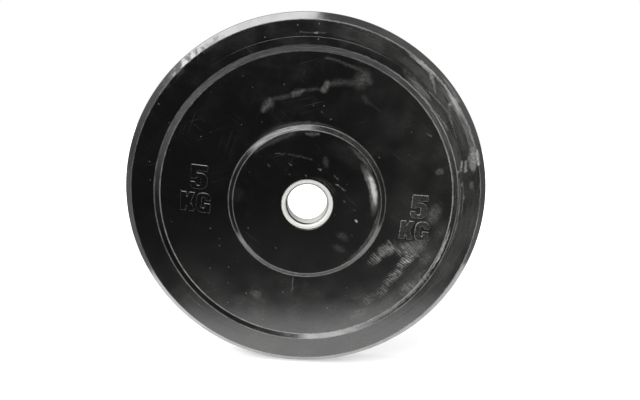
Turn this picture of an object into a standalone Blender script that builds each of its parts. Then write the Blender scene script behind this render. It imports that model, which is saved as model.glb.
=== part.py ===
"""A 450 mm rubber bumper weight plate with a steel hub sleeve and an anchor plate moulded inside.

The plate stands upright: its axis lies along Y, its front face looks towards -Y, and the
origin is the middle of the bore. Every turned piece is drawn about its own Z axis, and an
empty called plate_axis turns that axis to face the front.
"""

import math

import bmesh
import bpy
from mathutils import Matrix, Vector

# Rubber body, in metres. The web and the hub face lie back from the rim face by their recess.
PLATE_DIAMETER = 0.450
PLATE_THICKNESS = 0.030
EDGE_CHAMFER_WIDTH = 0.009
EDGE_CHAMFER_DEPTH = 0.007
RIM_FACE_WIDTH = 0.028
RIM_STEP_WIDTH = 0.0054
WEB_RECESS = 0.0046
HUB_FACE_DIAMETER = 0.185
HUB_STEP_WIDTH = 0.0058
HUB_RECESS = 0.0008

# Fillets of the mould that the rubber is pressed in.
CHAMFER_FILLET = 0.0016
TREAD_FILLET = 0.0024
STEP_TOP_FILLET = 0.0014
STEP_FOOT_FILLET = 0.0018
BORE_LIP_FILLET = 0.0008

# Turned steel sleeve, bored to slide on a 50 mm bar sleeve. Its wall is the mouth chamfer,
# the flat ring round it and the broken outer edge. Its ends lie just below the hub face.
BORE_DIAMETER = 0.0505
MOUTH_CHAMFER = 0.0034
SLEEVE_FACE_WIDTH = 0.00295
SLEEVE_EDGE_BREAK = 0.0004
SLEEVE_RECESS = 0.0008

# Steel anchor plate in the middle of the rubber, welded to the sleeve on both sides.
ANCHOR_DIAMETER = 0.130
ANCHOR_THICKNESS = 0.003
ANCHOR_HOLE_DIAMETER = 0.012
ANCHOR_HOLES = 8
ANCHOR_EDGE_BREAK = 0.0005
WELD_LEG = 0.003

# Space left between two pieces that touch.
CLEARANCE = 0.0003

# How finely round shapes are divided.
TURN_STEPS = 96
HOLE_STEPS = 24
FILLET_STEPS = 2
SEAM_MERGE = 0.00001
SMOOTH_ANGLE = math.radians(32)

HALF_THICKNESS = PLATE_THICKNESS / 2
PLATE_RADIUS = PLATE_DIAMETER / 2
RIM_FACE_RADIUS = PLATE_RADIUS - EDGE_CHAMFER_WIDTH
RIM_STEP_RADIUS = RIM_FACE_RADIUS - RIM_FACE_WIDTH
HUB_FACE_RADIUS = HUB_FACE_DIAMETER / 2
HUB_FACE_HEIGHT = HALF_THICKNESS - HUB_RECESS
BORE_RADIUS = BORE_DIAMETER / 2
MOUTH_RADIUS = BORE_RADIUS + MOUTH_CHAMFER
SLEEVE_RADIUS = MOUTH_RADIUS + SLEEVE_FACE_WIDTH + SLEEVE_EDGE_BREAK
SLEEVE_SEAT_RADIUS = SLEEVE_RADIUS + CLEARANCE
ANCHOR_RADIUS = ANCHOR_DIAMETER / 2
WELD_RADIUS = SLEEVE_SEAT_RADIUS + WELD_LEG
HOLE_CIRCLE_RADIUS = (WELD_RADIUS + ANCHOR_RADIUS) / 2
HOLE_RADIUS = ANCHOR_HOLE_DIAMETER / 2

# A turned surface has flats. Its radii are true at the middle of each flat, and one flat
# lies straight down, so that the plate can stand on it.
HALF_STEP = math.pi / TURN_STEPS
FLAT_TO_CORNER = 1 / math.cos(HALF_STEP)


def clear_scene():
    for obj in list(bpy.data.objects):
        bpy.data.objects.remove(obj)


def new_collection(name):
    collection = bpy.data.collections.new(name)
    bpy.context.scene.collection.children.link(collection)
    return collection


def new_material(name, colour, roughness, metallic):
    material = bpy.data.materials.new(name)
    material.use_nodes = True
    shader = material.node_tree.nodes["Principled BSDF"]
    shader.inputs["Base Color"].default_value = (*colour, 1)
    shader.inputs["Roughness"].default_value = roughness
    shader.inputs["Metallic"].default_value = metallic
    return material


def fillet_arc(before, corner, after, radius):
    """The points of an arc that rounds a corner of a profile."""
    if radius == 0:
        return [corner]
    back = (before - corner).normalized()
    ahead = (after - corner).normalized()
    half = back.angle(ahead) / 2
    reach = radius / math.tan(half)
    centre = corner + (back + ahead).normalized() * reach / math.cos(half)
    start = corner + back * reach - centre
    end = corner + ahead * reach - centre
    turn = math.pi - 2 * half
    points = []
    for step in range(FILLET_STEPS + 1):
        along = step / FILLET_STEPS
        from_start = math.sin((1 - along) * turn)
        from_end = math.sin(along * turn)
        points.append(centre + (start * from_start + end * from_end) / math.sin(turn))
    return points


def both_faces(front):
    """A closed profile from the corners of its front half, (radius, height, fillet), bore first."""
    back = [(radius, -height, fillet) for radius, height, fillet in reversed(front)]
    corners = front + back
    places = [Vector((radius, height)) for radius, height, _ in corners]
    points = []
    for i, (_, _, fillet) in enumerate(corners):
        after = places[(i + 1) % len(places)]
        points += fillet_arc(places[i - 1], places[i], after, fillet)
    return points


def add_object(name, mesh, collection, axis):
    obj = bpy.data.objects.new(name, mesh)
    collection.objects.link(obj)
    obj.parent = axis
    return obj


def turned(name, profile, collection, axis):
    """A closed profile of radius and height, turned about the plate's axis."""
    mesh = bpy.data.meshes.new(name)
    points = [(point.x * FLAT_TO_CORNER, 0, point.y) for point in profile]
    edges = [(i, (i + 1) % len(points)) for i in range(len(points))]
    mesh.from_pydata(points, edges, [])
    obj = add_object(name, mesh, collection, axis)
    obj.rotation_euler.z = HALF_STEP
    screw = obj.modifiers.new("Turn", "SCREW")
    screw.steps = TURN_STEPS
    screw.render_steps = TURN_STEPS
    screw.use_merge_vertices = True
    screw.merge_threshold = SEAM_MERGE
    return obj


def hole_circle(name, radius, depth, collection, axis):
    """One cylinder for each hole of the anchor plate, midway between its weld and its edge."""
    shape = bmesh.new()
    for i in range(ANCHOR_HOLES):
        turn = Matrix.Rotation(2 * math.pi * i / ANCHOR_HOLES, 4, "Z")
        place = turn @ Matrix.Translation((HOLE_CIRCLE_RADIUS, 0, 0))
        bmesh.ops.create_cone(
            shape,
            cap_ends=True,
            segments=HOLE_STEPS,
            radius1=radius,
            radius2=radius,
            depth=depth,
            matrix=place,
        )
    mesh = bpy.data.meshes.new(name)
    shape.to_mesh(mesh)
    shape.free()
    return add_object(name, mesh, collection, axis)


def make_cutter(obj):
    obj.hide_render = True
    obj.display_type = "WIRE"


def cut(obj, cutter):
    boolean = obj.modifiers.new(cutter.name, "BOOLEAN")
    boolean.operation = "DIFFERENCE"
    boolean.solver = "EXACT"
    boolean.object = cutter


def apply_modifiers(obj):
    """Makes the modified shape the object's own mesh, smooth except across its real edges."""
    graph = bpy.context.evaluated_depsgraph_get()
    mesh = bpy.data.meshes.new_from_object(obj.evaluated_get(graph))
    mesh.name = obj.name
    obj.modifiers.clear()
    obj.data = mesh
    mesh.shade_smooth()
    mesh.set_sharp_from_angle(angle=SMOOTH_ANGLE)


def rubber_profile():
    """Raised hub, sunk web, raised rim and chamfered edge, the same on both faces."""
    rim_face = HALF_THICKNESS
    web_face = HALF_THICKNESS - WEB_RECESS
    return both_faces(
        [
            (SLEEVE_SEAT_RADIUS, HUB_FACE_HEIGHT, BORE_LIP_FILLET),
            (HUB_FACE_RADIUS, HUB_FACE_HEIGHT, STEP_TOP_FILLET),
            (HUB_FACE_RADIUS + HUB_STEP_WIDTH, web_face, STEP_FOOT_FILLET),
            (RIM_STEP_RADIUS - RIM_STEP_WIDTH, web_face, STEP_FOOT_FILLET),
            (RIM_STEP_RADIUS, rim_face, STEP_TOP_FILLET),
            (RIM_FACE_RADIUS, rim_face, CHAMFER_FILLET),
            (PLATE_RADIUS, rim_face - EDGE_CHAMFER_DEPTH, TREAD_FILLET),
        ]
    )


def sleeve_profile():
    """A straight tube with broken outer edges and a lead-in chamfer at each mouth."""
    end = HUB_FACE_HEIGHT - SLEEVE_RECESS
    return both_faces(
        [
            (BORE_RADIUS, end - MOUTH_CHAMFER, 0),
            (MOUTH_RADIUS, end, 0),
            (MOUTH_RADIUS + SLEEVE_FACE_WIDTH, end, 0),
            (SLEEVE_RADIUS, end - SLEEVE_EDGE_BREAK, 0),
        ]
    )


def anchor_profile():
    """A flat disc with a fillet weld on each side, where it meets the sleeve."""
    face = ANCHOR_THICKNESS / 2
    return both_faces(
        [
            (SLEEVE_SEAT_RADIUS, face + WELD_LEG, 0),
            (WELD_RADIUS, face, 0),
            (ANCHOR_RADIUS - ANCHOR_EDGE_BREAK, face, 0),
            (ANCHOR_RADIUS, face - ANCHOR_EDGE_BREAK, 0),
        ]
    )


def anchor_room_profile():
    """The space that the anchor plate and its welds take up in the rubber, open to the sleeve."""
    face = ANCHOR_THICKNESS / 2 + CLEARANCE
    weld_sum = WELD_RADIUS + ANCHOR_THICKNESS / 2 + CLEARANCE * math.sqrt(2)
    return both_faces(
        [
            (SLEEVE_RADIUS, weld_sum - SLEEVE_RADIUS, 0),
            (weld_sum - face, face, 0),
            (ANCHOR_RADIUS + CLEARANCE, face, 0),
        ]
    )


def make_sleeve(parts, axis, steel):
    sleeve = turned("hub_sleeve", sleeve_profile(), parts, axis)
    apply_modifiers(sleeve)
    sleeve.data.materials.append(steel)


def make_anchor(parts, cutters, axis, steel):
    """The rubber flows through the holes of this plate, so that it can't turn or pull out."""
    anchor = turned("anchor_plate", anchor_profile(), parts, axis)
    holes = hole_circle("anchor_holes", HOLE_RADIUS, 2 * ANCHOR_THICKNESS, cutters, axis)
    make_cutter(holes)
    cut(anchor, holes)
    apply_modifiers(anchor)
    anchor.data.materials.append(steel)


def make_rubber(parts, cutters, axis, rubber):
    """The moulded body, with a peg of rubber left standing in each hole of the anchor plate."""
    body = turned("rubber_plate", rubber_profile(), parts, axis)
    room = turned("anchor_room", anchor_room_profile(), cutters, axis)
    peg_radius = HOLE_RADIUS - CLEARANCE
    pegs = hole_circle("rubber_pegs", peg_radius, 2 * ANCHOR_THICKNESS, cutters, axis)
    make_cutter(room)
    make_cutter(pegs)
    cut(room, pegs)
    cut(body, room)
    apply_modifiers(body)
    body.data.materials.append(rubber)


def main():
    clear_scene()
    parts = new_collection("weight_plate")
    cutters = new_collection("cutters")
    axis = bpy.data.objects.new("plate_axis", None)
    parts.objects.link(axis)
    axis.rotation_euler.x = math.pi / 2
    rubber = new_material("black_rubber", (0.010, 0.010, 0.011), 0.26, 0)
    bright_steel = new_material("turned_steel", (0.72, 0.72, 0.71), 0.28, 1)
    mild_steel = new_material("mild_steel", (0.34, 0.33, 0.32), 0.55, 1)
    make_sleeve(parts, axis, bright_steel)
    make_anchor(parts, cutters, axis, mild_steel)
    make_rubber(parts, cutters, axis, rubber)


main()
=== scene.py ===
"""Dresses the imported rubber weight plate: glossy moulded rubber with raised weight marks and a
turned steel hub ring, standing on a white sheet under soft studio light.

The plate's axis lies along Y, its front face looks towards -Y, and the origin is the middle of
the bore. Sizes and places are in millimetres unless a name or a comment says otherwise.
"""

import math

import bpy
import numpy as np
from mathutils import Matrix, Vector


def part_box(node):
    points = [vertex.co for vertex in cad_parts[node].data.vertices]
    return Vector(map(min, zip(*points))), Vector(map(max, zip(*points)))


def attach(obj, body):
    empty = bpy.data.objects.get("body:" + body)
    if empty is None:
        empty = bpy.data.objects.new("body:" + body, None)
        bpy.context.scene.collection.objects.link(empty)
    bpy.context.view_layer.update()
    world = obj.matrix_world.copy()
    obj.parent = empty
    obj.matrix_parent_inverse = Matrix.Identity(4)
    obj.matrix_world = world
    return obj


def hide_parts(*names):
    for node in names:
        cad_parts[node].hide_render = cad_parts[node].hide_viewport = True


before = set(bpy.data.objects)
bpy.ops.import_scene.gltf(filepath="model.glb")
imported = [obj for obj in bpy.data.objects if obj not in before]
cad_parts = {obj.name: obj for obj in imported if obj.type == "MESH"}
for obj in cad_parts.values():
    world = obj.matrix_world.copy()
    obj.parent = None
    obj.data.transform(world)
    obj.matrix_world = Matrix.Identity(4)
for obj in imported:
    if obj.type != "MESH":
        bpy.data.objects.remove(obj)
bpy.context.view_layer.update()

MM = 0.001

# The kinds of node that are added most.
MATH = "ShaderNodeMath"
VECTOR_MATH = "ShaderNodeVectorMath"
MAP_RANGE = "ShaderNodeMapRange"
NOISE = "ShaderNodeTexNoise"
MIX = "ShaderNodeMix"

# Rubber body, as its solid has it. Heights are measured from the middle of the plate.
PLATE_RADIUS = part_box("rubber_plate")[1].x / MM
RIM_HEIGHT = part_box("rubber_plate")[1].y / MM
EDGE_CHAMFER_WIDTH = 9.0
EDGE_CHAMFER_DEPTH = 7.0
RIM_FACE_WIDTH = 28.0
RIM_STEP_WIDTH = 5.4
WEB_RECESS = 4.6
HUB_FACE_RADIUS = 92.5
HUB_STEP_WIDTH = 5.8
HUB_RECESS = 0.8
RIM_FACE_RADIUS = PLATE_RADIUS - EDGE_CHAMFER_WIDTH
RIM_STEP_RADIUS = RIM_FACE_RADIUS - RIM_FACE_WIDTH
WEB_HEIGHT = RIM_HEIGHT - WEB_RECESS
HUB_HEIGHT = RIM_HEIGHT - HUB_RECESS

# Fillets of the mould.
CHAMFER_FILLET = 1.6
TREAD_FILLET = 2.4
STEP_TOP_FILLET = 1.4
STEP_FOOT_FILLET = 1.8
BORE_LIP_FILLET = 0.8

# A fine ring that the mould's cutter left on the rim face, and the line where the two halves
# of the mould met, round the middle of the tread.
CUTTER_RING_RADIUS = 198.0
CUTTER_RING_HALF_WIDTH = 0.5
CUTTER_RING_DEPTH = 0.12
PARTING_HALF_WIDTH = 0.6
PARTING_DEPTH = 0.25

# Steel hub sleeve, whose ends lie just below the hub face.
SLEEVE_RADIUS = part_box("hub_sleeve")[1].x / MM
SLEEVE_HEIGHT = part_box("hub_sleeve")[1].y / MM
BORE_RADIUS = 25.25
MOUTH_CHAMFER = 1.8
MOUTH_STEP = 1.1
MOUTH_STEP_DEPTH = 4.2
SLEEVE_EDGE_FILLET = 0.5
MOUTH_FILLET = 0.2
SEAT_GAP = 0.3

# How finely the turned skins are divided.
TURN_STEPS = 360
ARC_STEPS = 6
FLAT_STEP = 8.0
SUPPORT = 0.35

# Raised weight marks, rounded along their edges and rooted in the web.
MARK_HEIGHT = 0.9
MARK_ROOT = 0.9
MARK_FILLET = 0.7


def linear(hex_colour):
    """The linear RGBA of an sRGB colour written as six hex digits."""
    channels = [int(hex_colour[i : i + 2], 16) / 255 for i in (0, 2, 4)]
    return tuple(((c + 0.055) / 1.055) ** 2.4 if c > 0.04045 else c / 12.92 for c in channels) + (1,)


def live(sockets, name=None):
    """The first socket in use, or the first in use of that name."""
    return next(s for s in sockets if s.enabled and name in (None, s.name))


def add(tree, kind, inputs=(), **settings):
    """Adds a node with its settings. An input is a value, a socket, or a node for its first output."""
    made = tree.nodes.new(kind)
    for name, value in settings.items():
        setattr(made, name, value)
    for key, value in dict(inputs).items():
        socket = made.inputs[key] if isinstance(key, int) else live(made.inputs, key)
        if isinstance(value, bpy.types.Node):
            value = live(value.outputs)
        if isinstance(value, bpy.types.NodeSocket):
            tree.links.new(value, socket)
        else:
            socket.default_value = value
    return made


def new_material(name):
    """An empty node material and its tree."""
    material = bpy.data.materials.new(name)
    material.use_nodes = True
    material.node_tree.nodes.clear()
    return material, material.node_tree


def add_mesh(name, points, faces):
    """A smooth mesh object from points in millimetres."""
    mesh = bpy.data.meshes.new(name)
    mesh.from_pydata((np.asarray(points) * MM).tolist(), [], faces)
    mesh.shade_smooth()
    obj = bpy.data.objects.new(name, mesh)
    bpy.context.scene.collection.objects.link(obj)
    return obj


def fillet_arc(before, corner, after, radius):
    """The points of an arc that rounds a corner of a profile."""
    if radius == 0:
        return [corner]
    back = (before - corner).normalized()
    ahead = (after - corner).normalized()
    half = back.angle(ahead) / 2
    reach = radius / math.tan(half)
    centre = corner + (back + ahead).normalized() * reach / math.cos(half)
    start = corner + back * reach - centre
    end = corner + ahead * reach - centre
    turn = math.pi - 2 * half
    points = []
    for step in range(ARC_STEPS + 1):
        along = step / ARC_STEPS
        blend = start * math.sin((1 - along) * turn) + end * math.sin(along * turn)
        points.append(centre + blend / math.sin(turn))
    return points


def flat_run(start, end):
    """Points along a straight run: one close to each end, and the rest evenly between."""
    run = end - start
    if run.length < 3 * SUPPORT:
        return []
    inner = run.length - 2 * SUPPORT
    count = max(1, math.ceil(inner / FLAT_STEP))
    return [start + run * ((SUPPORT + inner * i / count) / run.length) for i in range(count + 1)]


def both_faces(front):
    """A closed profile from the corners of its front half, (radius, height, fillet), bore first."""
    corners = front + [(radius, -height, fillet) for radius, height, fillet in reversed(front)]
    places = [Vector((radius, height)) for radius, height, _ in corners]
    arcs = []
    for i, (_, _, fillet) in enumerate(corners):
        after = places[(i + 1) % len(places)]
        arcs.append(fillet_arc(places[i - 1], places[i], after, fillet))
    points = []
    for i, arc in enumerate(arcs):
        points += arc + flat_run(arc[-1], arcs[(i + 1) % len(arcs)][0])
    return points


def turned_skin(name, profile):
    """A closed profile of radius and height, turned about the plate's axis."""
    radius = np.array([p.x for p in profile])
    height = np.array([p.y for p in profile])
    angle = 2 * math.pi * np.arange(TURN_STEPS) / TURN_STEPS
    x = np.outer(np.cos(angle), radius)
    z = np.outer(np.sin(angle), radius)
    y = np.tile(-height, (TURN_STEPS, 1))
    points = np.stack([x, y, z], axis=-1).reshape(-1, 3)
    count = len(profile)
    i, j = np.meshgrid(np.arange(TURN_STEPS), np.arange(count), indexing="ij")
    i_next = (i + 1) % TURN_STEPS
    j_next = (j + 1) % count
    corners = [i * count + j, i * count + j_next, i_next * count + j_next, i_next * count + j]
    faces = np.stack(corners, axis=-1).reshape(-1, 4)
    return add_mesh(name, points, faces.tolist())


def rubber_profile():
    """Raised hub, sunk web, raised rim and chamfered edge, with the mould's fine lines."""
    ring, half = CUTTER_RING_RADIUS, CUTTER_RING_HALF_WIDTH
    return both_faces(
        [
            (SLEEVE_RADIUS + SEAT_GAP, HUB_HEIGHT, BORE_LIP_FILLET),
            (HUB_FACE_RADIUS, HUB_HEIGHT, STEP_TOP_FILLET),
            (HUB_FACE_RADIUS + HUB_STEP_WIDTH, WEB_HEIGHT, STEP_FOOT_FILLET),
            (RIM_STEP_RADIUS - RIM_STEP_WIDTH, WEB_HEIGHT, STEP_FOOT_FILLET),
            (RIM_STEP_RADIUS, RIM_HEIGHT, STEP_TOP_FILLET),
            (ring - half, RIM_HEIGHT, 0),
            (ring, RIM_HEIGHT - CUTTER_RING_DEPTH, 0),
            (ring + half, RIM_HEIGHT, 0),
            (RIM_FACE_RADIUS, RIM_HEIGHT, CHAMFER_FILLET),
            (PLATE_RADIUS, RIM_HEIGHT - EDGE_CHAMFER_DEPTH, TREAD_FILLET),
            (PLATE_RADIUS, PARTING_HALF_WIDTH, 0),
            (PLATE_RADIUS - PARTING_DEPTH, PARTING_HALF_WIDTH / 3, 0),
        ]
    )


def sleeve_profile():
    """A straight tube whose mouths have a lead-in chamfer, then a small step to the bore."""
    step_radius = BORE_RADIUS + MOUTH_STEP
    return both_faces(
        [
            (BORE_RADIUS, SLEEVE_HEIGHT - MOUTH_STEP_DEPTH, MOUTH_FILLET),
            (step_radius, SLEEVE_HEIGHT - MOUTH_STEP_DEPTH, MOUTH_FILLET),
            (step_radius, SLEEVE_HEIGHT - MOUTH_CHAMFER, MOUTH_FILLET),
            (step_radius + MOUTH_CHAMFER, SLEEVE_HEIGHT, SLEEVE_EDGE_FILLET),
            (SLEEVE_RADIUS, SLEEVE_HEIGHT, SLEEVE_EDGE_FILLET),
        ]
    )


# Corners of the plain block characters: x, z and the radius that rounds each corner.
CHARACTERS = {
    "5": (
        ((0, 30.5, 1.0), (20.6, 30.5, 1.2), (20.6, 22.8, 1.0), (7.6, 22.8, 0.5), (7.6, 20.6, 0.5))
        + ((20.8, 20.6, 8.0), (20.8, 0, 8.0), (0, 0, 6.0), (0, 9.2, 0.8), (5.8, 9.2, 1.2))
        + ((8.2, 4.8, 1.5), (12.4, 4.8, 2.0), (12.4, 14.9, 2.4), (7.6, 14.9, 1.0), (6.6, 13, 0.8))
        + ((0, 13, 0.8),)
    ),
    "K": (
        ((0, 0, 0.8), (0, 24.5, 0.8), (7.4, 24.5, 0.8), (7.4, 17, 0.4), (10.4, 24.5, 0.8))
        + ((18, 24.5, 0.8), (13, 12.6, 0.8), (18, 0, 0.8), (10.6, 0, 0.8), (7.4, 8, 0.4), (7.4, 0, 0.8))
    ),
    "G": (
        ((0, 0, 7.5), (0, 25.5, 7.5), (18, 25.5, 7.5), (18, 15.8, 0.8), (11.3, 15.8, 0.8))
        + ((11.3, 19.4, 1.8), (6.8, 19.4, 1.8), (6.8, 6.2, 1.8), (11.2, 6.2, 1.5), (11.2, 8.8, 0.4))
        + ((9.6, 8.8, 0.6), (9.6, 12.4, 0.6), (18, 12.4, 0.8), (18, 0, 1.0))
    ),
}

# Where each character's lower left corner lies on the face, seen from in front, and its lean.
MARKS = {
    "left": (("5", -145.5, 11.0, -3.0), ("K", -158.0, -17.6, -3.0), ("G", -138.6, -19.0, -3.0)),
    "right": (("5", 130.6, -9.1, -1.0), ("K", 119.7, -37.6, -1.0), ("G", 139.1, -38.6, -1.0)),
}


def raised_marks(name, characters, to_back):
    """The characters at one place of one face, in one mesh."""
    outline = bpy.data.curves.new(name, "CURVE")
    outline.dimensions = "2D"
    outline.fill_mode = "BOTH"
    outline.bevel_depth = MARK_FILLET * MM
    outline.bevel_resolution = 3
    outline.offset = -MARK_FILLET * MM
    outline.extrude = ((MARK_HEIGHT + MARK_ROOT) / 2 - MARK_FILLET) * MM
    for character, x, z, lean in characters:
        turn = Matrix.Rotation(math.radians(lean), 2)
        corners = [(Vector((cx, cz)), radius) for cx, cz, radius in CHARACTERS[character]]
        points = []
        for i, (corner, radius) in enumerate(corners):
            after = corners[(i + 1) % len(corners)][0]
            points += fillet_arc(corners[i - 1][0], corner, after, radius)
        spline = outline.splines.new("POLY")
        spline.points.add(len(points) - 1)
        for made, point in zip(spline.points, points):
            made.co.xy = (Vector((x, z)) + turn @ point) * MM
        spline.use_cyclic_u = True
    drawn = bpy.data.objects.new(name, outline)
    bpy.context.scene.collection.objects.link(drawn)
    mesh = bpy.data.meshes.new_from_object(drawn.evaluated_get(bpy.context.evaluated_depsgraph_get()))
    bpy.data.objects.remove(drawn)
    middle = WEB_HEIGHT + (MARK_HEIGHT - MARK_ROOT) / 2
    lift = Matrix.Translation((0, -middle * MM, 0)) @ Matrix.Rotation(math.pi / 2, 4, "X")
    mesh.transform(Matrix.Rotation(math.pi if to_back else 0, 4, "Z") @ lift)
    mesh.shade_smooth()
    marks = bpy.data.objects.new(name, mesh)
    bpy.context.scene.collection.objects.link(marks)
    return marks


RUBBER_BLACK = "0A0A0A"
SCUFF_AND_HIGHLIGHT_GREY = "C4C3BF"
BRIGHT_STEEL = "F6F5F2"
TARNISHED_STEEL = "E0DFDB"
RUBBED_AND_SHADED_STEEL = "BEBDB9"
SHADE_AND_GRIME_BLACK = "0C0B0A"
DARK_SCALE = "5C5A57"
PALE_SCALE = "8A8783"

# Gloss of the rubber where the mould left it polished and where it is worn. The polish is a thin
# glossy skin, which wear takes off.
RUBBER_IOR = 1.52
POLISHED_ROUGHNESS = 0.15
WORN_ROUGHNESS = 0.62
FULL_WEAR = 0.5
SKIN_IOR = 1.5
SKIN_ROUGHNESS = 0.14
SKIN_LEFT = 0.1

# The sleeve's steel shows partly bare through its bloom, is smoother and rougher in rings, and is
# tarnished in patches.
BARE_SHARE = 0.2
SMOOTHEST_STEEL = 0.62
ROUGHEST_STEEL = 0.86
LATHE_DEPTH = 0.03
LATHE_STRENGTH = 0.4
TARNISH_SIZE = 11.1

# The anchor plate's steel is dark, pale, smoother and rougher in patches of scale.
SCALE_PATCH_SIZE = 8.33
SMOOTHEST_SCALE = 0.45
ROUGHEST_SCALE = 0.7

# Grime and painted shadow lie on the small step in each mouth, a little way into the bore, and out to the
# chamfer, where they fade over their reach. They are thickest at the lower left, where the step's shadow
# is painted.
SHADE_AND_GRIME_ANGLE = -140.0
SHADE_AND_GRIME_DEPTH = 0.5
SHADE_AND_GRIME_REACH = 0.35
LEAST_SHADE_AND_GRIME = 0.45

# The bore is darker, partly rubbed by the bars that slid through and partly painted shade inside the
# tube, and the mouth less, up to a little way past the chamfer.
RUBBED_AND_SHADED_REACH = 0.8
FULLY_RUBBED_AND_SHADED = 0.1

# Wear on the front face, which the back doesn't share. A smear has a strength and is drawn
# through points of x, z and half its width.
SMEARS = (
    (0.17, ((-59.4, 111.7, 3.0), (-52.8, 120.1, 5.0), (-52.0, 123.6, 3.0))),
    (0.075, ((-52, 124, 2.2), (-36.3, 128.5, 2.1), (-25.1, 132.6, 2.1))),
    (0.18, ((-25.1, 132.4, 2.9), (-20.1, 134.8, 3.6), (-12.7, 137.7, 1.9))),
    (0.075, ((-12.7, 137.7, 1.6), (5.2, 140.5, 1.6), (9.7, 141, 2.5))),
    (0.26, ((10.2, 140.2, 3.4), (14.0, 147.6, 3.2))),
    (0.09, ((15.5, 146.4, 3.5), (26, 149.7, 3.3), (45.1, 150.2, 3.3))),
    (0.13, ((52, 152.5, 7.2), (56, 159, 6.8), (62, 153, 4.0))),
    (0.09, ((49.9, 165.8, 1.9), (35.3, 169.7, 1.8), (23.6, 173.9, 1.5), (9.8, 175.6, 1.3))),
    (0.05, ((58.6, 134.4, 3.0), (62, 129, 2.6))),
    (0.03, ((63, 130, 1.6), (79.4, 119.9, 1.0))),
    (0.6, ((132.2, 168.6, 3.0), (134.6, 162.5, 2.2))),
    (0.45, ((134.6, 162.5, 2.4), (135.8, 159.7, 2.0), (138.5, 152, 1.4), (140.7, 145.7, 0.9))),
    (0.5, ((165.5, 138.5, 4.6), (160, 134, 3.0))),
    (0.25, ((160, 134, 3.6), (161, 122, 2.6), (166, 112, 2.0))),
    (0.3, ((129.6, 149.1, 0.9), (144.2, 137.6, 0.8), (158.8, 125, 0.7), (173.5, 95, 0.6))),
    (0.4, ((137.3, 127.9, 0.9), (150.7, 117.2, 1.1), (161, 104, 0.8))),
    (0.6, ((196, 83, 4.2), (198, 71, 6.4), (199, 61, 3.6))),
    (1.1, ((201, 81.5, 2.0), (203.6, 73, 2.6), (205.4, 66, 1.6))),
    (0.5, ((184.4, 68, 1.2), (184.8, 57, 1.7))),
    (0.6, ((189, 69, 1.2), (190.5, 57, 2.1))),
    (0.5, ((181.2, 55.6, 1.1), (181.8, 54, 1.1))),
    (0.35, ((188.8, 41, 0.9), (188.8, 37, 0.9))),
    (0.22, ((200.4, 42, 2.8), (201.6, 35, 2.4))),
    (0.35, ((192.9, 25.6, 1.3), (193.2, 21.2, 1.3))),
    (0.45, ((-5.2, 201.6, 0.8), (-1.6, 202, 1.0))),
    (0.1, ((-20.8, 201, 0.8), (7.5, 202.4, 0.8))),
    (0.2, ((-12.1, -100.7, 0.6), (-12.2, -120.9, 0.5))),
    (0.12, ((9.5, 115.2, 0.6), (12, 113.2, 0.6))),
    (0.15, ((138, 97, 0.8), (144, 95, 0.8))),
    (0.4, ((21, 107.1, 0.7), (21.8, 107.2, 0.7))),
    (0.3, ((106, -41, 0.5), (112, -47.5, 0.8), (125.8, -61.9, 0.5))),
    (0.22, ((124, -44, 0.6), (134, -54, 0.9), (150, -60, 0.6))),
    (0.15, ((-6.6, 88.2, 1.4), (0, 87.6, 2.8), (7.7, 88.2, 1.4))),
    (0.06, ((-66, 62, 1.2), (-52.6, 72, 2.2), (-36.6, 81, 2.6), (-21.4, 87.6, 1.8))),
    (0.1, ((-41.5, 61.3, 0.9), (-31, 62.3, 0.8))),
    (0.075, ((-27, 61.5, 0.8), (-12, 60, 1.3), (2, 57.5, 1.0))),
    (0.4, ((11, 46.6, 1.0), (13.2, 45.4, 1.2))),
    (1.2, ((61.8, -16, 1.1), (63.4, -17.6, 1.1))),
    (0.3, ((44.4, 8.4, 0.8), (46, 7.4, 0.8))),
    (0.2, ((-50.6, 47, 0.6), (-47.8, 46, 0.6))),
    (0.2, ((-24.6, 51, 0.6), (-22.2, 49.2, 0.6))),
    (0.2, ((-24.4, 37.6, 0.7), (-23.4, 36.4, 0.7))),
    (0.2, ((-4.6, 37.4, 0.7), (-3.4, 36.6, 0.7))),
    (0.18, ((30.5, 39.4, 0.7), (35.6, 35, 0.8))),
    (0.3, ((33.8, 29, 0.5), (45.2, 21.4, 0.8))),
)

# Soft scuffs on the front face: x, z, half length, half width, lean and strength.
SCUFFS = (
    (112, 159, 22, 7, -45, 0.1),
    (121, 150, 10, 4, -42, 0.2),
    (148, 120, 26, 9, -45, 0.1),
    (19, 55.3, 4.5, 8, 12, 0.08),
    (160.2, 52.1, 7, 5, 20, 0.16),
    (198, 66, 11, 22, 0, 0.08),
    (44.2, -55.1, 11, 6, -25, 0.06),
    (47.4, -38.5, 10, 6, -25, 0.06),
    (137, -51, 28, 13, -4, 0.08),
    (150, -38, 14, 8, 20, 0.08),
    (107, -55, 14, 10, 40, 0.1),
    (96, -69, 10, 6, 45, 0.1),
    (79, -149, 18, 10, 30, 0.1),
    (-60, -127, 10, 7, 0, 0.06),
    (-88, 8, 14, 13, 0, 0.015),
    (161, -4, 12, 18, -15, 0.06),
)

# Patches of close parallel scratches on the front face: x, z, half length, half width, lean,
# strength. Each group has its own lean of the scratches.
RUBBED_PATCHES = {
    -42.0: (
        (99, -59, 26, 9, 51, 0.66),
        (110, -53, 12, 9, 30, 0.8),
        (137, -50, 24, 11, 20, 0.6),
        (158, -64, 14, 8, 50, 0.26),
        (157.5, -89, 15, 9, 50, 0.36),
        (141.6, -105, 17, 9, 45, 0.4),
        (107, -112, 20, 8, 50, 0.34),
        (90, -126, 16, 8, 45, 0.28),
        (160.6, -2, 10, 19, -20, 0.2),
        (173.7, -25.7, 9, 8, 0, 0.13),
    ),
    -28.0: (
        (134, -67, 20, 8, 48, 1.2),
        (119, -91, 18, 8, 45, 0.8),
        (-58, -127, 10, 7, 40, 0.12),
    ),
}

# The real scratches lie closer than the render can show, so they are drawn this far apart. Each
# wanders by these lengths, over a long way and over a short one.
RUB_SPACING = 2.9
RUB_BEND = 4.15
RUB_JITTER = 1.85
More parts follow.
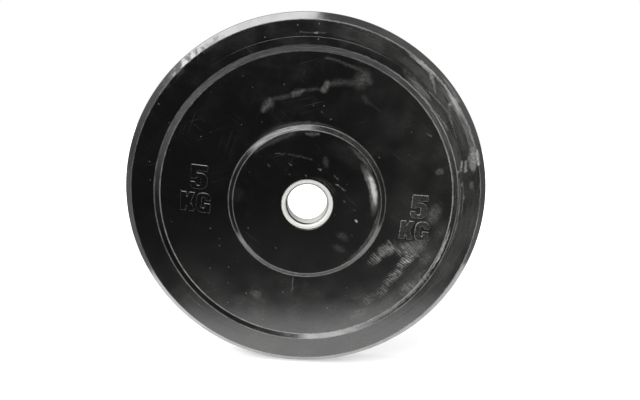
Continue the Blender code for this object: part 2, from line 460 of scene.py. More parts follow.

# Arcs round the front, rubbed by other plates, and on the rim's step partly painted highlights: radius,
# half width, first and last angle, strength.
RUBBED_AND_LIT_ARCS = (
    (215.3, 1.6, 28, 66, 0.9),
    (214.2, 2.8, 49, 62, 0.9),
    (214.0, 3.6, 32, 45, 1.0),
    (211.5, 4.6, 14, 52, 0.34),
    (215.6, 1.3, -4, 108, 0.3),
    (215.7, 1.2, -86, 46, 0.4),
    (205, 10, 12, 72, 0.13),
    (192, 7, -2, 62, 0.1),
    (199, 14, -46, 36, 0.06),
    (210, 9, -14, 20, 0.07),
    (215.4, 1.6, 21, 38, 0.8),
    (207, 14, 54, 92, 0.055),
    (175, 14, -82, 2, 0.05),
    # These arcs along the rim's step are partly painted highlights of the step.
    (183.0, 1.1, -30, 86, 0.3),
    (188.4, 1.1, -5, 90, 0.4),
    (184.7, 1.5, -26, -5, 0.7),
    (185.3, 3.4, -14, 46, 0.07),
    (185.3, 3.4, 16, 54, 0.15),
    (184.2, 1.5, -68, -6, 0.22),
    (190.4, 1.3, -22, 24, 0.3),
    (194.2, 1.2, -5, 16, 0.22),
    (84.6, 4.4, 1, 34, 2.1),
    (83.4, 6.6, -7, 44, 0.45),
    (80, 14, 32, 78, 0.025),
    (193.0, 4.5, 43, 58, 0.3),
    (188.8, 1.6, 38, 56, 0.5),
    (88.6, 3.4, 26, 62, 0.16),
    (90.0, 3.0, -58, 10, 0.16),
    (95.4, 3.4, 18, 96, 0.07),
    (100.6, 2.4, 66, 132, 0.1),
    (35.5, 1.8, 14, 92, 0.08),
    (38.5, 1.2, 18, 76, 0.06),
    (220, 5, -140, -10, 0.08),
    (220.5, 6, 34, 84, 0.06),
    (220.5, 6, -16, 8, 0.05),
    (220.5, 2.8, 37, 50, 0.3),
)

# Thin pale lines along the foot and top of each step and the edge of the rim, partly dust and rubbing and
# partly painted highlights of their fillets: radius, half width and strength.
WORN_AND_LIT_RINGS = (
    (HUB_FACE_RADIUS, 0.7, 0.2),
    (HUB_FACE_RADIUS + HUB_STEP_WIDTH, 0.8, 0.2),
    (RIM_STEP_RADIUS - RIM_STEP_WIDTH, 0.65, 0.33),
    (RIM_STEP_RADIUS, 0.7, 0.18),
    (RIM_FACE_RADIUS, 0.7, 0.12),
)

# Towards the left, between these places, they grow this many times stronger.
LEFT_RINGS_FROM = -60.0
LEFT_RINGS_TO = -170.0
LEFT_RINGS = 1.4

# Where handling took the mould's polish off one stretch of the edge chamfer, and off the upper
# parts of both steps, the rim's less: radius, half width, first and last angle.
DULLED_CHAMFER = (PLATE_RADIUS - 4, 12, 117, 153)
DULLED_HUB_STEP = (HUB_FACE_RADIUS + 3, 12, 82, 150)
DULLED_RIM_STEP = (RIM_STEP_RADIUS - 2.7, 4.5, 22, 154)
DULLING = 0.42
RIM_STEP_SHARE = 0.65

# How far the edges of the smears, scuffs and arcs wander, over what length, and how large the
# blotches in the smears are.
DRIFT = 5.5
DRIFT_OF_ARCS = 0.7
DRIFT_SIZE = 5.88
BLOTCH_SIZE = 3.33

# Over what lengths the close parallel scratches bend and break, the pale rings break, and the
# edges of the marks are nicked.
BEND_SIZE = 20.0
BREAK_SIZE = 5.0
RING_BREAK_SIZE = 9.09
NICK_SIZE = 2.86

# Streaks that run round the axis, on the rubber and from the lathe on the steel: their width, and
# how many degrees they reach round.
ARC_STREAK = (1.43, 6.37)
DULL_STREAK = (1.11, 11.46)
LATHE_RING = (0.4, 47.7)

# Fine scratches lie thinly over every face in these directions. They are drawn as wide as they
# need to show.
SCRATCH_LEANS = (18.0, -37.0, 71.0)
SCRATCH_WIDTH = 0.9
SCRATCH_LENGTH = 60.0
SCRATCH_STRENGTH = 0.09

# Dust specks, up to this radius, lie in a share of the cells of an uneven grid.
SPECK_SPACING = 12.0
SPECK_SHARE = 0.14
SPECK_RADIUS = 1.02
SPECK_STRENGTH = 0.18

# The cloudy patches of the moulding, the patches of a thin film on it, the dull patches of its
# chamfer, and the slow waves in its faces.
CLOUD_SIZE = 38.0
FILM_SIZE = 20.0
DULL_PATCH_SIZE = 14.0
WAVE_SIZE = 45.0
WAVE_DEPTH = 0.45

# The film dulls the polish in patches. It makes the rubber paler towards the right, less so
# towards the bottom, and paler again in those patches low on the face. Most of it keeps off the
# steep parts of the rim.
FILM_DULLING = 0.12
LEAST_HAZE = 0.001
MOST_HAZE = 0.047
HAZE_REACH = 190.0
BOTTOM_SHARE = 0.8
THINNEST_FILM = 0.35
LOW_FILM = 0.34
LOW_FILM_FROM = -90.0
LOW_FILM_TO = -190.0
KEPT_OFF = 0.75

# The wear of a face sets in between these heights, where the edge chamfer begins.
FACE_FROM = 7.5
FACE_TO = 8.5

# How pale the edges of the marks are, partly wear and partly painted highlights, at the left and at the
# right, and the tops at the right. The paleness of an edge sets in and is full at these two depths under
# the top.
EDGE_PALE_FROM = 0.02
EDGE_PALE_FULL = 0.2
MARK_PALE_REACH = 100.0
LEFT_MARK_PALENESS = 0.2
RIGHT_MARK_PALENESS = 0.8
RIGHT_TOP_PALENESS = 0.07


def smear(tree, flat, points):
    """How near a place is to a line drawn through points: 1 on the line, 0 beside it."""
    nearest = None
    for (x, z, half), (next_x, next_z, next_half) in zip(points, points[1:]):
        run = Vector((next_x - x, next_z - z, 0))
        per_run = run / run.length_squared
        away = add(tree, VECTOR_MATH, {0: flat, 1: (x, z, 0)}, operation="SUBTRACT")
        share = add(tree, VECTOR_MATH, {0: away, 1: per_run}, operation="DOT_PRODUCT")
        past_start = add(tree, MATH, {0: share, 1: 0}, operation="MAXIMUM")
        along = add(tree, MATH, {0: past_start, 1: 1}, operation="MINIMUM")
        foot = add(tree, VECTOR_MATH, {0: run, "Scale": along}, operation="SCALE")
        far = add(tree, VECTOR_MATH, {0: away, 1: foot}, operation="DISTANCE")
        width = add(tree, MATH, {0: along, 1: next_half - half, 2: half}, operation="MULTIPLY_ADD")
        ratio = add(tree, MATH, {0: far, 1: width}, operation="DIVIDE")
        nearest = nearest or ratio
        nearest = add(tree, MATH, {0: nearest, 1: ratio}, operation="MINIMUM")
    return add(
        tree,
        MAP_RANGE,
        {"Value": nearest, "From Min": 1.75, "From Max": -0.05},
        interpolation_type="SMOOTHSTEP",
        clamp=False,
    )


def oval(tree, flat, x, z, half_length, half_width, lean):
    """1 in the middle of a soft oval, 0 past its edge."""
    turn = math.radians(lean)
    along = Vector((math.cos(turn), math.sin(turn), 0)) / half_length
    across = Vector((-math.sin(turn), math.cos(turn), 0)) / half_width
    away = add(tree, VECTOR_MATH, {0: flat, 1: (x, z, 0)}, operation="SUBTRACT")
    u = add(tree, VECTOR_MATH, {0: away, 1: along}, operation="DOT_PRODUCT")
    v = add(tree, VECTOR_MATH, {0: away, 1: across}, operation="DOT_PRODUCT")
    both = add(tree, "ShaderNodeCombineXYZ", {0: u, 1: v})
    far = add(tree, VECTOR_MATH, {0: both}, operation="LENGTH")
    return add(
        tree,
        MAP_RANGE,
        {"Value": far, "From Min": 1.1, "From Max": 0.3},
        interpolation_type="SMOOTHSTEP",
        clamp=False,
    )


def soft_arc(tree, polar, radius, half_width, first, last):
    """1 in the middle of a soft arc between two angles in degrees, 0 past its edge."""
    middle = math.radians(first + last) / 2
    half_turn = math.radians(last - first) / 2
    return oval(tree, polar, radius, middle, half_width, half_turn, 0)


def stronger(tree, highest, mask, strength):
    """The higher of a level so far and one more mask times its strength."""
    level = add(tree, MATH, {0: mask, 1: strength}, operation="MULTIPLY")
    return add(tree, MATH, {0: highest, 1: level}, operation="MAXIMUM")


def patches(tree, where, size, low, high, least=0.0, most=1.0, detail=4.0, roughness=0.5):
    """Soft patches: `most` inside them and `least` between them. Noise lies mostly between 0.3
    and 0.7, and their edges lie between its levels `low` and `high`."""
    noise = add(
        tree, NOISE, {"Vector": where, "Scale": 1 / size, "Detail": detail, "Roughness": roughness}
    )
    return add(
        tree,
        MAP_RANGE,
        {"Value": noise, "From Min": low, "From Max": high, "To Min": least, "To Max": most},
    )


def streaks(tree, polar, size, detail, roughness=0.5):
    """Noise drawn out round the axis. Its size is a width in millimetres and a turn in degrees."""
    width, turn = size
    drawn_out = (1 / width, 1 / math.radians(turn), 0)
    along = add(tree, VECTOR_MATH, {0: polar, 1: drawn_out}, operation="MULTIPLY")
    return add(tree, NOISE, {"Vector": along, "Scale": 1.0, "Detail": detail, "Roughness": roughness})


def spot_in_mm(tree):
    """A place on an object, in millimetres from its origin."""
    where = add(tree, "ShaderNodeTexCoord").outputs["Object"]
    return add(tree, VECTOR_MATH, {0: where, "Scale": 1 / MM}, operation="SCALE")


def layout(tree):
    """A place's height over the middle of the plate and its spot, in millimetres. Then the spot
    flat on the face, as x and z, and as radius and angle."""
    spot = spot_in_mm(tree)
    split = add(tree, "ShaderNodeSeparateXYZ", {0: spot})
    flat = add(tree, "ShaderNodeCombineXYZ", {0: split.outputs["X"], 1: split.outputs["Z"]})
    radius = add(tree, VECTOR_MATH, {0: flat}, operation="LENGTH")
    angle = add(tree, MATH, {0: split.outputs["Z"], 1: split.outputs["X"]}, operation="ARCTAN2")
    polar = add(tree, "ShaderNodeCombineXYZ", {0: radius, 1: angle})
    return split.outputs["Y"], spot, flat, polar


def front_wear_and_lit_arcs(tree, flat, polar):
    """Smears and scuffs in small blotches, and rubbed arcs, partly painted highlights along the rim's
    step, in streaks that run round the plate.
    """
    drift = add(tree, NOISE, {"Vector": flat, "Scale": 1 / DRIFT_SIZE, "Detail": 4.0, "Roughness": 0.65})
    shift = add(
        tree,
        VECTOR_MATH,
        {0: drift.outputs["Color"], 1: (DRIFT, DRIFT, 0), 2: (-DRIFT / 2, -DRIFT / 2, 0)},
        operation="MULTIPLY_ADD",
    )
    ragged = add(tree, VECTOR_MATH, {0: flat, 1: shift}, operation="ADD")
    level = 0.0
    for strength, points in SMEARS:
        level = stronger(tree, level, smear(tree, ragged, points), strength)
    for *place, strength in SCUFFS:
        level = stronger(tree, level, oval(tree, ragged, *place), strength)
    blotches = patches(tree, flat, BLOTCH_SIZE, 0.36, 0.64, least=0.32, detail=5.0, roughness=0.65)
    blotched = add(tree, MATH, {0: level, 1: blotches}, operation="MULTIPLY")

    outward = add(tree, VECTOR_MATH, {0: shift, 1: (DRIFT_OF_ARCS, 0, 0)}, operation="MULTIPLY")
    ragged_polar = add(tree, VECTOR_MATH, {0: polar, 1: outward}, operation="ADD")
    level = 0.0
    for *place, strength in RUBBED_AND_LIT_ARCS:
        level = stronger(tree, level, soft_arc(tree, ragged_polar, *place), strength)
    broken = add(
        tree,
        MAP_RANGE,
        {
            "Value": streaks(tree, polar, ARC_STREAK, 5.0, roughness=0.65),
            "From Min": 0.36,
            "From Max": 0.64,
            "To Min": 0.2,
        },
    )
    streaked = add(tree, MATH, {0: level, 1: broken}, operation="MULTIPLY")
    return add(tree, MATH, {0: blotched, 1: streaked}, operation="MAXIMUM")


def rubbed_lines(tree, flat):
    """Patches where something coarse skipped over the face and left close parallel scratches."""
    per_mm = 2 * math.pi / RUB_SPACING
    wander = add(tree, NOISE, {"Vector": flat, "Scale": 1 / BEND_SIZE, "Detail": 3.0})
    uneven = add(tree, NOISE, {"Vector": flat, "Scale": 1 / BREAK_SIZE, "Detail": 4.0})
    level = 0.0
    for lean, group in RUBBED_PATCHES.items():
        rubbed = 0.0
        for *place, strength in group:
            rubbed = stronger(tree, rubbed, oval(tree, flat, *place), strength)
        turn = math.radians(lean)
        across = Vector((-math.sin(turn), math.cos(turn), 0)) * per_mm
        phase = add(tree, VECTOR_MATH, {0: flat, 1: across}, operation="DOT_PRODUCT")
        bent = add(tree, MATH, {0: wander, 1: RUB_BEND * per_mm, 2: phase}, operation="MULTIPLY_ADD")
        bumpy = add(tree, MATH, {0: uneven, 1: RUB_JITTER * per_mm, 2: bent}, operation="MULTIPLY_ADD")
        wave = add(tree, MATH, {0: bumpy}, operation="SINE")
        lines = add(tree, MAP_RANGE, {"Value": wave, "From Min": -0.2, "From Max": 0.95, "To Min": 0.2})
        # Counting the scratches gives each of them a depth of its own.
        count = add(tree, MATH, {0: bent, 1: 0.5 / math.pi}, operation="MULTIPLY")
        each = add(tree, NOISE, {"W": count, "Scale": 0.8, "Detail": 1.0}, noise_dimensions="1D")
        depth = add(tree, MAP_RANGE, {"Value": each, "From Min": 0.34, "From Max": 0.62, "To Min": 0.3})
        cut = add(tree, MATH, {0: lines, 1: depth}, operation="MULTIPLY")
        drawn = add(tree, MATH, {0: cut, 1: rubbed}, operation="MULTIPLY")
        level = add(tree, MATH, {0: level, 1: drawn}, operation="MAXIMUM")
    share = add(tree, MAP_RANGE, {"Value": uneven, "From Min": 0.36, "From Max": 0.64, "To Min": 0.1})
    return add(tree, MATH, {0: level, 1: share}, operation="MULTIPLY")


def worn_and_lit_rings(tree, spot, polar):
    """Thin pale lines along the steps, partly dust and wear and partly painted highlights of the fillets,
    stronger in some places than in others, and at the left.
    """
    radius = add(tree, "ShaderNodeSeparateXYZ", {0: polar})
    level = 0.0
    for place, half_width, strength in WORN_AND_LIT_RINGS:
        line = add(tree, MATH, {0: radius, 1: place, 2: half_width}, operation="COMPARE")
        level = stronger(tree, level, line, strength)
    share = patches(tree, spot, RING_BREAK_SIZE, 0.36, 0.62, least=0.5)
    uneven = add(tree, MATH, {0: level, 1: share}, operation="MULTIPLY")
    across = add(tree, "ShaderNodeSeparateXYZ", {0: spot})
    left = add(
        tree,
        MAP_RANGE,
        {
            "Value": across,
            "From Min": LEFT_RINGS_FROM,
            "From Max": LEFT_RINGS_TO,
            "To Min": 1.0,
            "To Max": LEFT_RINGS,
        },
    )
    return add(tree, MATH, {0: uneven, 1: left}, operation="MULTIPLY")


def dulled_edges(tree, spot, polar):
    """Where handling took off the mould's polish: patches at one stretch of the edge chamfer, and
    streaks along the upper parts of both steps."""
    patchy = patches(tree, spot, DULL_PATCH_SIZE, 0.46, 0.56, detail=5.0)
    at_chamfer = soft_arc(tree, polar, *DULLED_CHAMFER)
    on_chamfer = add(tree, MATH, {0: patchy, 1: at_chamfer}, operation="MULTIPLY")
    streaky = add(
        tree,
        MAP_RANGE,
        {
            "Value": streaks(tree, polar, DULL_STREAK, 4.0),
            "From Min": 0.36,
            "From Max": 0.6,
            "To Min": 0.2,
        },
    )
    at_hub = soft_arc(tree, polar, *DULLED_HUB_STEP)
    at_rim = soft_arc(tree, polar, *DULLED_RIM_STEP)
    at_steps = stronger(tree, at_hub, at_rim, RIM_STEP_SHARE)
    on_steps = add(tree, MATH, {0: streaky, 1: at_steps}, operation="MULTIPLY")
    return add(tree, MATH, {0: on_chamfer, 1: on_steps}, operation="MAXIMUM")


def fine_scratches(tree, flat):
    """Thin short lines in a few directions, thicker in some places than in others."""
    thin = (1 / SCRATCH_LENGTH, 1 / SCRATCH_WIDTH, 0)
    level = 0.0
    for lean in SCRATCH_LEANS:
        turned = add(
            tree,
            "ShaderNodeVectorRotate",
            {"Vector": flat, "Angle": math.radians(-lean)},
            rotation_type="Z_AXIS",
        )
        drawn = add(tree, VECTOR_MATH, {0: turned, 1: thin}, operation="MULTIPLY")
        noise = add(tree, NOISE, {"Vector": drawn, "Scale": 1.0, "Detail": 1.0})
        line = add(tree, MAP_RANGE, {"Value": noise, "From Min": 0.70, "From Max": 0.80})
        level = stronger(tree, level, line, 1.0)
    return level


def dust_specks(tree, flat):
    """Small pale specks of several sizes, in about one in seven of the cells of an uneven grid."""
    cells = add(
        tree,
        "ShaderNodeTexVoronoi",
        {"Vector": flat, "Scale": 1 / SPECK_SPACING},
        voronoi_dimensions="2D",
    )
    chance = add(tree, "ShaderNodeSeparateColor", {0: cells.outputs["Color"]})
    size = add(
        tree,
        MAP_RANGE,
        {
            "Value": chance.outputs["Red"],
            "From Min": 1 - SPECK_SHARE,
            "To Max": SPECK_RADIUS / SPECK_SPACING,
        },
    )
    inside = add(tree, MATH, {0: size, 1: cells.outputs["Distance"]}, operation="SUBTRACT")
    return add(tree, MAP_RANGE, {"Value": inside, "From Max": 0.02})


def worn_and_lit_edges(tree, spot, height):
    """Pale edges all round the raised marks, partly rubbed and partly painted highlights along their
    fillets. Those at the right are paler, and a little on their tops too."""
    top = WEB_HEIGHT + MARK_HEIGHT
    reach = MARK_PALE_REACH
    across = add(tree, "ShaderNodeSeparateXYZ", {0: spot})
    most = add(
        tree,
        MAP_RANGE,
        {
            "Value": across,
            "From Min": -reach,
            "From Max": reach,
            "To Min": LEFT_MARK_PALENESS,
            "To Max": RIGHT_MARK_PALENESS,
        },
    )
    on_top = add(
        tree, MAP_RANGE, {"Value": across, "From Min": 0, "From Max": reach, "To Max": RIGHT_TOP_PALENESS}
    )
    below = add(
        tree,
        MAP_RANGE,
        {
            "Value": height,
            "From Min": top - EDGE_PALE_FROM,
            "From Max": top - EDGE_PALE_FULL,
            "To Min": on_top,
        },
    )
    nicked = patches(tree, spot, NICK_SIZE, 0.3, 0.7, most=most, detail=2.0)
    return add(tree, MATH, {0: below, 1: nicked}, operation="MULTIPLY")


def general_wear_and_lit_rings(tree, spot, flat, polar, cloudy):
    """Fine scratches, dust specks and the pale lines of the steps, which are partly painted highlights,
    alike on both faces.
    """
    scratches = add(tree, MATH, {0: fine_scratches(tree, flat), 1: cloudy}, operation="MULTIPLY")
    specks = add(tree, MATH, {0: dust_specks(tree, flat), 1: SPECK_STRENGTH}, operation="MULTIPLY")
    scattered = add(tree, MATH, {0: scratches, 1: SCRATCH_STRENGTH, 2: specks}, operation="MULTIPLY_ADD")
    rings = worn_and_lit_rings(tree, spot, polar)
    return add(tree, MATH, {0: scattered, 1: rings}, operation="MAXIMUM")


def thin_film(tree, spot, flat, polar, cloudy):
    """The film that hands and dust left: how much its patches dull the polish, and how pale it is.
    It is palest at the right and the bottom, and hardly lies on the rim's step and the edge."""
    sides = add(tree, "ShaderNodeSeparateXYZ", {0: flat})
    x, z = sides.outputs["X"], sides.outputs["Y"]
    down = add(tree, MATH, {0: z, 1: -BOTTOM_SHARE}, operation="MULTIPLY")
    handled = add(tree, MATH, {0: x, 1: down}, operation="MAXIMUM")
    haze = add(
        tree,
        MAP_RANGE,
        {"Value": handled, "From Max": HAZE_REACH, "To Min": LEAST_HAZE, "To Max": MOST_HAZE},
        interpolation_type="SMOOTHSTEP",
    )
    thinner = add(tree, MAP_RANGE, {"Value": cloudy, "To Min": THINNEST_FILM})
    hazy = add(tree, MATH, {0: thinner, 1: haze}, operation="MULTIPLY")
    dulled = patches(tree, spot, FILM_SIZE, 0.38, 0.66, most=FILM_DULLING)
    low = add(
        tree,
        MAP_RANGE,
        {"Value": z, "From Min": LOW_FILM_FROM, "From Max": LOW_FILM_TO, "To Max": LOW_FILM},
    )
    smoky = add(tree, MATH, {0: dulled, 1: low, 2: hazy}, operation="MULTIPLY_ADD")

    radius = add(tree, "ShaderNodeSeparateXYZ", {0: polar})
    at_step = add(
        tree,
        MATH,
        {0: radius, 1: RIM_STEP_RADIUS - RIM_STEP_WIDTH / 2, 2: RIM_STEP_WIDTH / 2},
        operation="COMPARE",
    )
    at_edge = add(tree, MATH, {0: radius, 1: RIM_FACE_RADIUS}, operation="GREATER_THAN")
    steep = add(tree, MATH, {0: at_step, 1: at_edge}, operation="MAXIMUM")
    kept = add(tree, MATH, {0: steep, 1: -KEPT_OFF, 2: 1.0}, operation="MULTIPLY_ADD")
    return dulled, add(tree, MATH, {0: smoky, 1: kept}, operation="MULTIPLY")


def moulded_rubber(name, on_marks):
    """Black vulcanised rubber, glossy from a polished mould, with pale scuffs where it was handled and
    painted highlights along its steps and the marks' edges.
    """
    material, tree = new_material(name)
    height, spot, flat, polar = layout(tree)
    front = add(tree, MAP_RANGE, {"Value": height, "From Min": -FACE_FROM, "From Max": -FACE_TO})
    either = add(tree, MATH, {0: height}, operation="ABSOLUTE")
    face = add(tree, MAP_RANGE, {"Value": either, "From Min": FACE_FROM, "From Max": FACE_TO})
    if on_marks:
        scuffs_and_highlights = worn_and_lit_edges(tree, spot, either)
    else:
        scuffs_and_highlights = front_wear_and_lit_arcs(tree, flat, polar)
    lines = rubbed_lines(tree, flat)
    rubbed = add(tree, MATH, {0: scuffs_and_highlights, 1: lines}, operation="ADD")
    photographed = add(tree, MATH, {0: rubbed, 1: front}, operation="MULTIPLY")
    cloudy = patches(tree, spot, CLOUD_SIZE, 0.38, 0.68)
    general = general_wear_and_lit_rings(tree, spot, flat, polar, cloudy)
    on_faces = add(tree, MATH, {0: general, 1: face}, operation="MULTIPLY")
    dulled, smoky = thin_film(tree, spot, flat, polar, cloudy)
    hazed = add(tree, MATH, {0: photographed, 1: smoky}, operation="ADD")
    wear_and_highlights = add(tree, MATH, {0: hazed, 1: on_faces}, operation="ADD", use_clamp=True)
    # The pale colour mixes in wear and painted highlights along the steps and the marks' edges.
    colour = add(
        tree, MIX, {"Factor": wear_and_highlights, "A": linear(RUBBER_BLACK), "B": linear(SCUFF_AND_HIGHLIGHT_GREY)}, data_type="RGBA"
    )

    dimmed = add(tree, MATH, {0: wear_and_highlights, 1: dulled}, operation="ADD")
    edges = dulled_edges(tree, spot, polar)
    dull = add(tree, MATH, {0: edges, 1: DULLING, 2: dimmed}, operation="MULTIPLY_ADD")
    roughness = add(
        tree,
        MAP_RANGE,
        {
            "Value": dull,
            "From Max": FULL_WEAR,
            "To Min": POLISHED_ROUGHNESS,
            "To Max": WORN_ROUGHNESS,
        },
    )
    skin = add(
        tree, MAP_RANGE, {"Value": dull, "From Max": FULL_WEAR, "To Min": 1.0, "To Max": SKIN_LEFT}
    )
    waves = add(tree, NOISE, {"Vector": spot, "Scale": 1 / WAVE_SIZE, "Detail": 3.0})
    wavy = add(tree, "ShaderNodeBump", {"Height": waves, "Distance": WAVE_DEPTH * MM})
    shader = add(
        tree,
        "ShaderNodeBsdfPrincipled",
        {
            "Base Color": colour,
            "Roughness": roughness,
            "IOR": RUBBER_IOR,
            "Normal": wavy,
            "Coat Weight": skin,
            "Coat Roughness": SKIN_ROUGHNESS,
            "Coat IOR": SKIN_IOR,
            "Coat Normal": wavy,
        },
    )
    add(tree, "ShaderNodeOutputMaterial", {"Surface": shader})
    return material


def mouth_grime_and_shade(tree, height, radius, angle):
    """Grime and painted shadow on the small step in each mouth, from just inside the bore out to the
    chamfer.
    """
    step_radius = BORE_RADIUS + MOUTH_STEP
    step_height = SLEEVE_HEIGHT - MOUTH_STEP_DEPTH
    narrow = add(
        tree, MAP_RANGE, {"Value": radius, "From Min": step_radius + SHADE_AND_GRIME_REACH, "From Max": step_radius}
    )
    outer = add(
        tree, MAP_RANGE, {"Value": height, "From Min": step_height - SHADE_AND_GRIME_DEPTH, "From Max": step_height}
    )
    from_low_left = add(tree, MATH, {0: angle, 1: math.radians(SHADE_AND_GRIME_ANGLE)}, operation="SUBTRACT")
    turned = add(tree, MATH, {0: from_low_left}, operation="COSINE")
    thick = add(
        tree,
        MAP_RANGE,
        {"Value": turned, "From Min": 0.2, "From Max": 0.8, "To Min": LEAST_SHADE_AND_GRIME},
        interpolation_type="SMOOTHSTEP",
    )
    at_step = add(tree, MATH, {0: narrow, 1: outer}, operation="MULTIPLY")
    return add(tree, MATH, {0: at_step, 1: thick}, operation="MULTIPLY")


def turned_steel():
    """Bright steel with fine rings from the lathe, half matt under its thin pale bloom of zinc and dust,
    darker in the bore from rubbing and painted shade, and with grime and painted shadow on the step
    inside each mouth."""
    material, tree = new_material("turned_steel")
    height, spot, _, polar = layout(tree)
    rings = streaks(tree, polar, LATHE_RING, 3.0)
    tarnish = add(tree, NOISE, {"Vector": spot, "Scale": 1 / TARNISH_SIZE, "Detail": 4.0})
    bright = add(
        tree,
        MIX,
        {"Factor": tarnish, "A": linear(BRIGHT_STEEL), "B": linear(TARNISHED_STEEL)},
        data_type="RGBA",
    )
    roughness = add(
        tree, MAP_RANGE, {"Value": rings, "To Min": SMOOTHEST_STEEL, "To Max": ROUGHEST_STEEL}
    )

    parts = add(tree, "ShaderNodeSeparateXYZ", {0: polar})
    radius, angle = parts.outputs["X"], parts.outputs["Y"]
    either = add(tree, MATH, {0: height}, operation="ABSOLUTE")
    grime_and_shade = mouth_grime_and_shade(tree, either, radius, angle)
    rubbed_and_shaded_radius = BORE_RADIUS + MOUTH_STEP + MOUTH_CHAMFER + RUBBED_AND_SHADED_REACH
    in_bore = add(
        tree,
        MAP_RANGE,
        {"Value": radius, "From Min": rubbed_and_shaded_radius, "From Max": BORE_RADIUS + FULLY_RUBBED_AND_SHADED},
    )
    # Rubbing and painted shade darken the bore.
    rubbed = add(tree, MIX, {"Factor": in_bore, "A": bright, "B": linear(RUBBED_AND_SHADED_STEEL)}, data_type="RGBA")
    # Grime and painted shadow darken the mouth's step, most at the lower left.
    colour = add(tree, MIX, {"Factor": grime_and_shade, "A": rubbed, "B": linear(SHADE_AND_GRIME_BLACK)}, data_type="RGBA")
    metal = add(tree, MAP_RANGE, {"Value": grime_and_shade, "To Min": BARE_SHARE, "To Max": 0.0})
    grooves = add(
        tree,
        "ShaderNodeBump",
        {"Height": rings, "Strength": LATHE_STRENGTH, "Distance": LATHE_DEPTH * MM},
    )
    shader = add(
        tree,
        "ShaderNodeBsdfPrincipled",
        {"Base Color": colour, "Roughness": roughness, "Metallic": metal, "Normal": grooves},
    )
    add(tree, "ShaderNodeOutputMaterial", {"Surface": shader})
    return material


def mild_steel():
    """Rolled mild steel with its grey scale, for the plate inside the rubber."""
    material, tree = new_material("mild_steel")
    spot = layout(tree)[1]
    scale = add(tree, NOISE, {"Vector": spot, "Scale": 1 / SCALE_PATCH_SIZE, "Detail": 5.0})
    colour = add(
        tree, MIX, {"Factor": scale, "A": linear(DARK_SCALE), "B": linear(PALE_SCALE)}, data_type="RGBA"
    )
    roughness = add(
        tree, MAP_RANGE, {"Value": scale, "To Min": SMOOTHEST_SCALE, "To Max": ROUGHEST_SCALE}
    )
    shader = add(
        tree, "ShaderNodeBsdfPrincipled", {"Base Color": colour, "Roughness": roughness, "Metallic": 1.0}
    )
    add(tree, "ShaderNodeOutputMaterial", {"Surface": shader})
    return material


def dress(piece, material):
    """Gives a piece its finish, and lets it ride on the plate's one body."""
    piece.data.materials.append(material)
    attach(piece, "root")


def build_plate():
    """The rubber body, the hub ring and the weight marks, and a finish for the anchor plate."""
    rubber = moulded_rubber("moulded_rubber", False)
    mark_rubber = moulded_rubber("moulded_rubber_worn_and_lit_edges", True)
    steel = turned_steel()
    body = turned_skin("rubber_body", rubber_profile())
    dress(body, rubber)
    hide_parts("rubber_plate")
    ring = turned_skin("hub_ring", sleeve_profile())
    dress(ring, steel)
    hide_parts("hub_sleeve")
    for side, characters in MARKS.items():
        for face, to_back in (("front", False), ("back", True)):
            marks = raised_marks(f"weight_marks_{face}_{side}", characters, to_back)
            dress(marks, mark_rubber)
    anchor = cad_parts["anchor_plate"]
    anchor.data.materials.clear()
    anchor.data.materials.append(mild_steel())


# Camera, solved from the photograph: its place, where it looks, its roll, and its lens.
CAMERA_PLACE = (-4.951, -545.659, 149.255)
CAMERA_YAW = 2.195
CAMERA_PITCH = -14.929
CAMERA_ROLL = 4.310
CAMERA_LENS = 24.964
SENSOR_WIDTH = 36.0


def build_camera():
    """A camera at the photograph's place and angle."""
    yaw, pitch, roll = (math.radians(v) for v in (CAMERA_YAW, CAMERA_PITCH, CAMERA_ROLL))
    ahead = math.cos(pitch)
    forward = Vector((math.sin(yaw) * ahead, math.cos(yaw) * ahead, math.sin(pitch)))
    level = Vector((math.cos(yaw), -math.sin(yaw), 0))
    upright = level.cross(forward)
    right = level * math.cos(roll) + upright * math.sin(roll)
    up = upright * math.cos(roll) - level * math.sin(roll)
    lens = bpy.data.cameras.new("camera")
    lens.lens = CAMERA_LENS
    lens.sensor_width = SENSOR_WIDTH
    camera = bpy.data.objects.new("camera", lens)
    bpy.context.scene.collection.objects.link(camera)
    turn = Matrix((right, up, -forward)).transposed().to_4x4()
    camera.matrix_world = Matrix.Translation(Vector(CAMERA_PLACE) * MM) @ turn
    bpy.context.scene.camera = camera


# Studio. A white backdrop stands behind the plate, dimmer low down, and the room in front of it is
# dim. The bounds of the backdrop are directions: along Y from none of it to all, and along Z up to
# its full light.
ROOM_LIGHT = 0.035
BACKDROP_LIGHT = 0.9
BACKDROP_FROM = -0.45
BACKDROP_FULL = 0.3
BACKDROP_LIFT = 0.42
LOW_SHARE = 0.4

# The white sheet that the plate stands on. Its front edge is nearest to the plate in the middle, where
# painted shade of the camera and photographer falls on it, and spreads forward at both sides, most at the
# right. Its left edge leans inwards to the front.
SHEET_LEFT = -288.0
SHEET_LEFT_LEAN = 0.53
SHEET_RIGHT = 445.0
SHEET_SIDE_FADE = 50.0
SHEET_FRONT = -124.0
SHEET_FRONT_FADE = 130.0
FRONT_SHADE_LEFT_SPREAD = 0.03
FRONT_SHADE_RIGHT_SPREAD = 0.36
SHEET_COLOUR = "D6D6D6"
SHEET_GLOW = 1.0
FLOOR_REACH = 2500.0

# Beside the sheet the floor is grey. In front it is dim, and dimmer far off and at the left.
SIDE_FLOOR_COLOUR = "6A6A6A"
SIDE_FLOOR_FRONT = -70.0
SIDE_FLOOR_FADE = 80.0
FRONT_FLOOR_COLOUR = "383838"
FAR_FLOOR_COLOUR = "1A1A1A"
FRONT_FLOOR_NEAR = -400.0
FRONT_FLOOR_FAR = -1200.0
FRONT_FLOOR_LEFT_SHARE = 2.0

# For the camera the sheet glows less near the plate, which keeps the plate's shadow, and more
# far off, where it runs into the white backdrop.
SEEN_GLOW = 0.5
SEEN_FAR_GLOW = 1.3
SEEN_NEAR = 500.0
SEEN_FAR = 900.0

